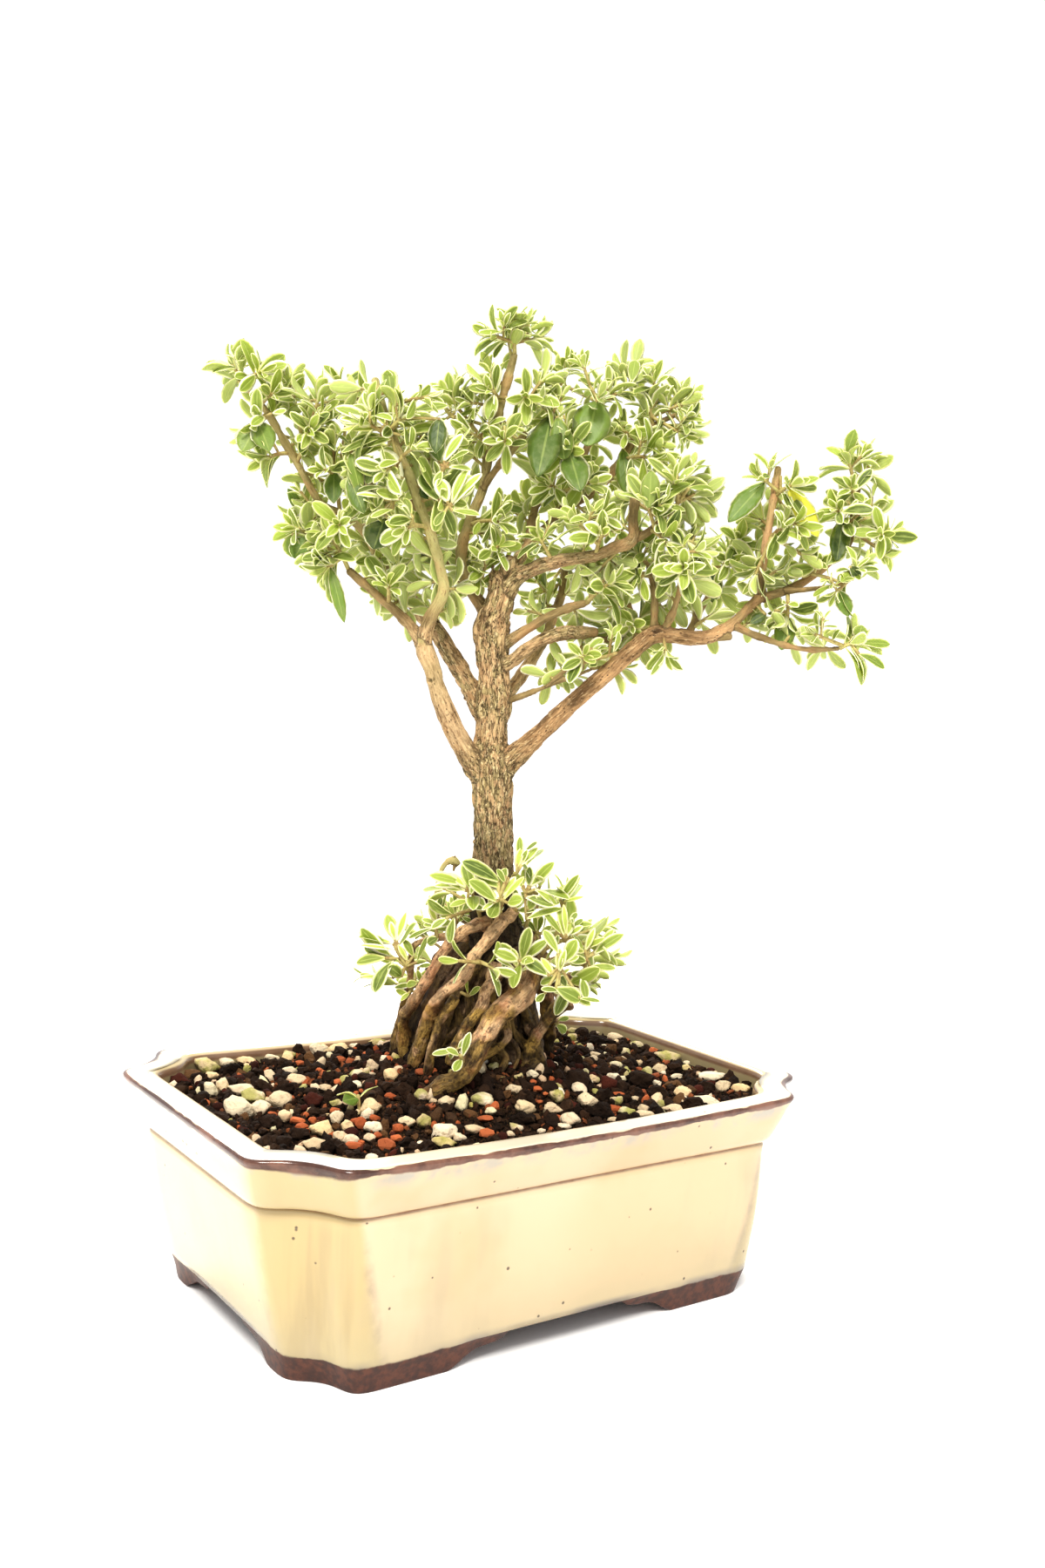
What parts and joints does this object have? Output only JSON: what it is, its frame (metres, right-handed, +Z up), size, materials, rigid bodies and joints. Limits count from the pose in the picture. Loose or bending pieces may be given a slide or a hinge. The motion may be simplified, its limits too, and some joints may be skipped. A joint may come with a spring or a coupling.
{
  "type": "potted bonsai",
  "caption": "Upright serissa bonsai with a bare flaky trunk, exposed roots and variegated leaves, in a rectangular glazed pot with scalloped corners.",
  "frame": {"origin": "on the surface that the pot stands on, under the middle of the whole plant's bounding box, which is 5.6 mm to +X and 3.4 mm to -Y of the pot's own middle", "axes": "+Z up; X along the pot's long sides, with the heavy right-hand branch toward +X; the picture looks along +Y from the -X, -Y corner"},
  "size_m": [0.2162, 0.1608, 0.323],
  "materials": {
    "glaze": "gloss",
    "bare_clay": "matte",
    "screen": "matte",
    "soil": "matte",
    "pumice": "matte",
    "baked_clay": "matte",
    "bark": "matte",
    "leaf": "satin",
    "young_leaf": "satin"
  },
  "bodies": {
    "root": {"pot": "glaze", "drain_screen_left": "screen", "drain_screen_right": "screen", "soil": "soil", "wood": "bark", "crown_spray_01": "leaf", "crown_spray_02": "leaf", "crown_spray_03": "leaf", "crown_spray_04": "leaf", "crown_spray_05": "leaf", "crown_spray_06": "leaf", "crown_spray_07": "leaf", "crown_spray_08": "leaf", "crown_spray_09": "leaf", "crown_spray_10": "leaf", "crown_spray_11": "leaf", "crown_spray_12": "leaf", "crown_spray_13": "leaf", "crown_spray_14": "leaf", "crown_spray_15": "leaf", "crown_spray_16": "leaf", "crown_spray_17": "leaf", "crown_spray_18": "leaf", "crown_spray_19": "leaf", "crown_spray_20": "leaf", "crown_spray_21": "leaf", "crown_spray_22": "leaf", "crown_spray_23": "leaf", "crown_spray_24": "leaf", "crown_spray_25": "leaf", "crown_spray_26": "leaf", "crown_spray_27": "leaf", "crown_spray_28": "leaf", "crown_spray_29": "leaf", "crown_spray_30": "leaf", "crown_spray_31": "leaf", "crown_spray_32": "leaf", "crown_spray_33": "leaf", "crown_spray_34": "leaf", "crown_spray_35": "leaf", "crown_spray_36": "leaf", "crown_spray_37": "leaf", "crown_spray_38": "leaf", "crown_spray_39": "leaf", "crown_spray_40": "leaf", "crown_spray_41": "leaf", "crown_spray_42": "leaf", "crown_spray_43": "leaf", "crown_spray_44": "leaf", "crown_spray_45": "leaf", "base_shoot_01": "young_leaf", "base_shoot_02": "young_leaf", "base_shoot_03": "young_leaf", "base_shoot_04": "young_leaf", "base_shoot_05": "young_leaf", "base_shoot_06": "young_leaf", "base_shoot_07": "young_leaf", "base_shoot_08": "young_leaf", "base_shoot_09": "young_leaf", "seedling": "young_leaf"}
  },
  "joints": []
}
